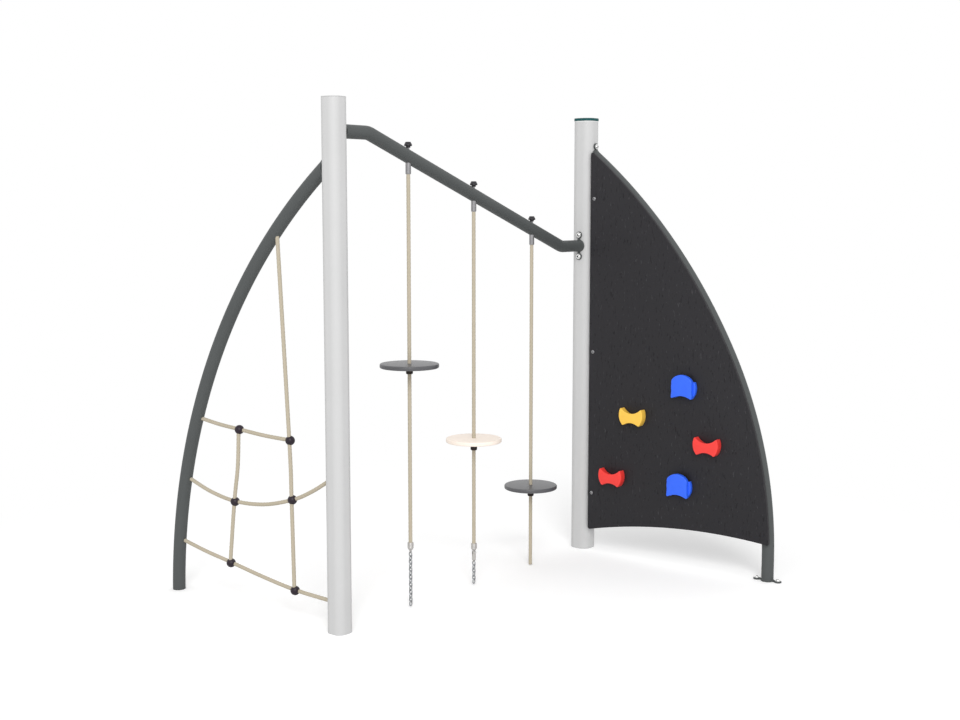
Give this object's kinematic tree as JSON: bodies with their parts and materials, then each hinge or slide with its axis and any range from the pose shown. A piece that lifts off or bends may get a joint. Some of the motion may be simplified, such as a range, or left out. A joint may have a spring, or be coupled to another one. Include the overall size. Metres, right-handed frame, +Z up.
{
  "type": "outdoor climbing gym",
  "caption": "Small outdoor climbing gym: posts joined by a sloping crossbar with hanging ropes and step discs, a rope net under one arch and a climbing panel with holds on the other.",
  "frame": {"origin": "middle of the plan on the ground, at the centre of the bottom of the outer box", "axes": "+Z up; +X from the front post to the rear post along the crossbar; the net arch reaches towards +Y and the panel arch towards -Y"},
  "size_m": [1.9984, 2.285, 2.3],
  "materials": {
    "light_grey_coating": "powder-coated light grey, satin",
    "teal_plastic": "moulded teal cap, satin",
    "dark_grey_coating": "powder-coated dark grey tube, satin",
    "black_panel": "near-black sheet with a fine grained face, matt",
    "red_plastic": "moulded hold, fine grain",
    "yellow_plastic": "moulded hold, fine grain",
    "blue_plastic": "moulded hold, fine grain",
    "stainless_steel": "bright bolts",
    "swaged_aluminium": "pressed ferrules, satin",
    "black_plastic": "moulded black, satin",
    "beige_rope": "laid rope with a steel core",
    "grey_rubber": "dark grey disc, satin",
    "cream_rubber": "cream disc, satin",
    "galvanised_steel": "zinc-coated chain"
  },
  "bodies": {
    "frame": {"front_post": "light_grey_coating", "front_post_cap": "light_grey_coating", "rear_post": "light_grey_coating", "rear_post_cap": "teal_plastic", "crossbar": "dark_grey_coating", "net_arch": "dark_grey_coating", "panel_arch": "dark_grey_coating", "climbing_panel": "black_panel", "hold_blue_upper": "blue_plastic", "hold_blue_lower": "blue_plastic", "hold_yellow": "yellow_plastic", "hold_red_left": "red_plastic", "hold_red_right": "red_plastic", "crossbar_front_bolt_a": "stainless_steel", "crossbar_front_bolt_b": "stainless_steel", "crossbar_rear_bolt_a": "stainless_steel", "crossbar_rear_bolt_b": "stainless_steel", "net_arch_bolt_a": "stainless_steel", "net_arch_bolt_b": "stainless_steel", "panel_arch_bolt_a": "stainless_steel", "panel_arch_bolt_b": "stainless_steel", "foot_bolt_a": "stainless_steel", "foot_bolt_b": "stainless_steel", "panel_bolt_upper": "stainless_steel", "panel_bolt_middle": "stainless_steel", "panel_bolt_lower": "stainless_steel", "panel_back_bolt_upper": "stainless_steel", "panel_back_bolt_lower": "stainless_steel", "net_upright_long": "beige_rope", "net_upright_short": "beige_rope", "net_rope_high": "beige_rope", "net_rope_middle": "beige_rope", "net_rope_low": "beige_rope", "net_ball_high_inner": "black_plastic", "net_ball_high_outer": "black_plastic", "net_ball_mid_inner": "black_plastic", "net_ball_mid_outer": "black_plastic", "net_ball_low_inner": "black_plastic", "net_ball_low_outer": "black_plastic", "cap_nut_1": "black_plastic", "cap_nut_2": "black_plastic", "cap_nut_3": "black_plastic", "rope_terminal_1": "swaged_aluminium", "rope_terminal_2": "swaged_aluminium", "rope_terminal_3": "swaged_aluminium"},
    "rope_1": {"hanging_rope_1": "beige_rope", "disc_collar_1": "black_plastic", "rope_sleeve_1": "swaged_aluminium"},
    "disc_1": {"step_disc_1": "grey_rubber"},
    "chain_1": {"chain_1": "galvanised_steel"},
    "rope_2": {"hanging_rope_2": "beige_rope", "disc_collar_2": "black_plastic", "rope_sleeve_2": "swaged_aluminium", "connector_pin": "stainless_steel"},
    "disc_2": {"step_disc_2": "cream_rubber"},
    "chain_2": {"chain_connector": "galvanised_steel", "chain_2": "galvanised_steel"},
    "rope_3": {"hanging_rope_3": "beige_rope", "disc_collar_3": "black_plastic"},
    "disc_3": {"step_disc_3": "grey_rubber"}
  },
  "joints": [
    {"name": "rope_1_swing", "type": "hinge", "parent": "frame", "child": "rope_1", "pos_m": [-0.48275, 0.03192, 1.98615], "axis": [0, 1, 0], "range_deg": [-2.5, 2.5]},
    {"name": "disc_1_spin", "type": "hinge", "parent": "rope_1", "child": "disc_1", "pos_m": [-0.48275, 0.03192, 1.136], "axis": [0, 0, 1], "continuous": true},
    {"name": "rope_2_swing", "type": "hinge", "parent": "frame", "child": "rope_2", "pos_m": [-0.01375, 0.03192, 1.81814], "axis": [0, 1, 0], "range_deg": [-1.5, 1.5]},
    {"name": "disc_2_spin", "type": "hinge", "parent": "rope_2", "child": "disc_2", "pos_m": [-0.01375, 0.03192, 0.729], "axis": [0, 0, 1], "continuous": true},
    {"name": "rope_3_swing", "type": "hinge", "parent": "frame", "child": "rope_3", "pos_m": [0.45525, 0.03192, 1.65014], "axis": [0, 1, 0], "range_deg": [-1, 1]},
    {"name": "disc_3_spin", "type": "hinge", "parent": "rope_3", "child": "disc_3", "pos_m": [0.45525, 0.03192, 0.422], "axis": [0, 0, 1], "continuous": true},
    {"name": "chain_1_fold", "type": "hinge", "parent": "rope_1", "child": "chain_1", "pos_m": [-0.48275, 0.03192, 0.2616], "axis": [0, 1, 0], "range_deg": [-20, 20]},
    {"name": "chain_2_fold", "type": "hinge", "parent": "rope_2", "child": "chain_2", "pos_m": [-0.01375, 0.03192, 0.1632], "axis": [0, 1, 0], "range_deg": [-18, 18]}
  ],
  "couplings": [
    {"joint": "chain_1_fold", "follows": "rope_1_swing", "ratio": -7.695},
    {"joint": "chain_2_fold", "follows": "rope_2_swing", "ratio": -11.395}
  ]
}
